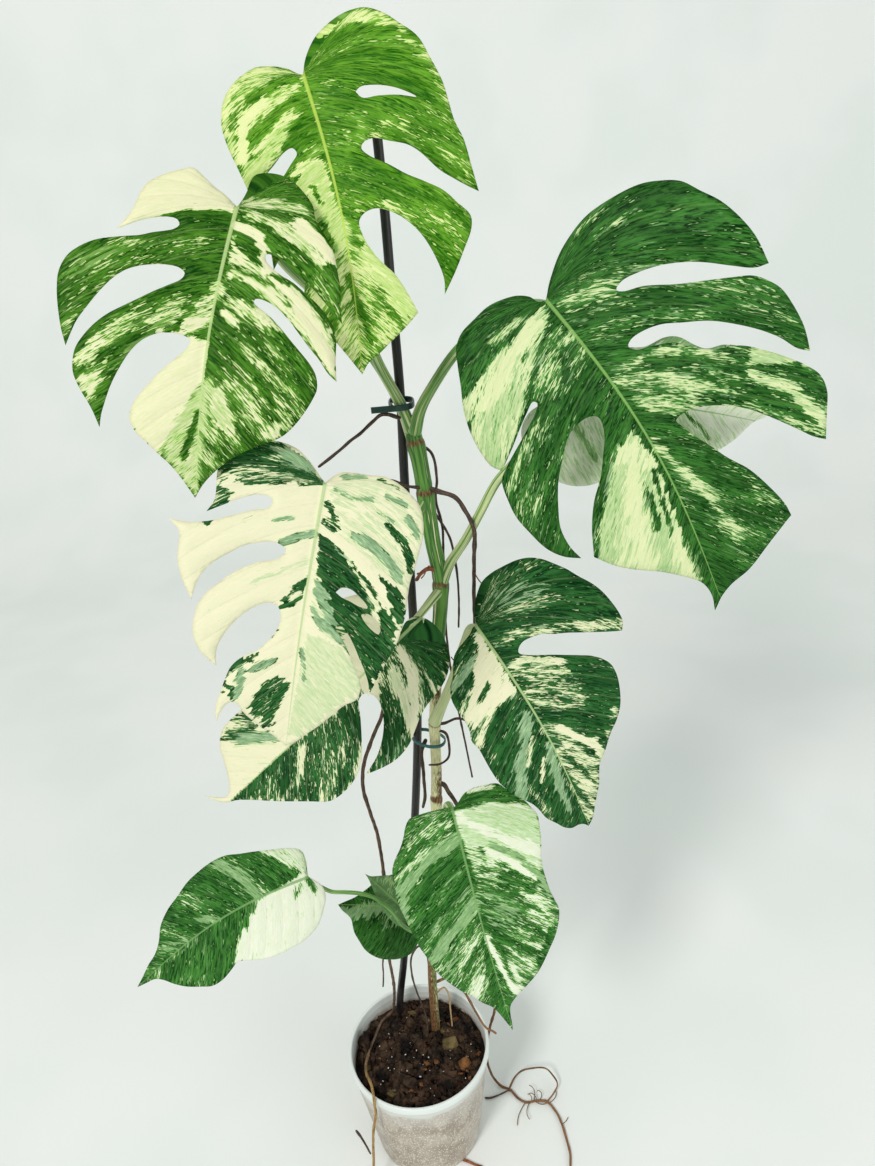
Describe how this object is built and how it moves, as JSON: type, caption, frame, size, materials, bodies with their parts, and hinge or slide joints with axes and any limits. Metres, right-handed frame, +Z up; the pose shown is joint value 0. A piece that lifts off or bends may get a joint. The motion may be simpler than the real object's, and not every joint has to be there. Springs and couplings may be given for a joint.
{
  "type": "potted variegated monstera plant",
  "caption": "Variegated split-leaf climbing plant on a bowed stake, in a round frosted nursery pot with bark mix and trailing aerial roots.",
  "frame": {"origin": "middle of the pot's flat underside, on the ground", "axes": "+Z up along the pot's axis; -Y towards the side that the leaves face; +X to the right seen from that side"},
  "size_m": [0.4709, 0.2458, 0.9922],
  "materials": {
    "variegated_leaf": "satin leaf, dark green with cream and grey-green sectors",
    "cream_leaf": "satin leaf, mostly cream",
    "green_stalk": "smooth living stalk, green with cream stripes",
    "aerial_root": "dry brown root skin",
    "soil_root": "tan root skin",
    "black_stake": "dark satin coating",
    "plant_clip": "dark green strap",
    "twist_tie": "teal coated wire",
    "frosted_pot": "frosted translucent wall, smooth white lip",
    "bark_mix": "rough moist bark"
  },
  "bodies": {
    "root": {"pot": "frosted_pot", "soil": "bark_mix", "stake": "black_stake", "stem": "green_stalk", "bark_by_stem": "bark_mix", "bark_front": "bark_mix", "bark_right": "bark_mix", "bark_slab": "bark_mix", "clip": "plant_clip", "leaf_behind_middle": "variegated_leaf", "leaf_behind_right": "cream_leaf", "leaf_heart": "variegated_leaf", "leaf_left": "variegated_leaf", "leaf_low_left": "variegated_leaf", "leaf_middle": "cream_leaf", "leaf_right": "variegated_leaf", "leaf_right_low": "variegated_leaf", "leaf_small_curled": "variegated_leaf", "leaf_small_dark": "variegated_leaf", "leaf_top": "variegated_leaf", "root_arch": "aerial_root", "root_bud": "aerial_root", "root_clip": "aerial_root", "root_floor": "soil_root", "root_floor_loop": "soil_root", "root_floor_stub": "soil_root", "root_left_hanging": "aerial_root", "root_left_thin": "aerial_root", "root_node_hook": "aerial_root", "root_node_right": "aerial_root", "root_over_leaf": "aerial_root", "root_pale": "soil_root", "root_red": "aerial_root", "root_right_long": "aerial_root", "root_right_rim": "aerial_root", "root_right_short": "aerial_root", "root_side_twig": "aerial_root", "root_stem_left": "aerial_root", "root_stem_side": "soil_root", "root_under_pot": "soil_root", "stalk_behind_middle": "green_stalk", "stalk_behind_right": "green_stalk", "stalk_heart": "green_stalk", "stalk_left": "green_stalk", "stalk_low_left": "green_stalk", "stalk_middle": "green_stalk", "stalk_right": "green_stalk", "stalk_right_low": "green_stalk", "stalk_small_curled": "green_stalk", "stalk_small_dark": "green_stalk", "stalk_top": "green_stalk", "twist_tie": "twist_tie"}
  },
  "joints": []
}
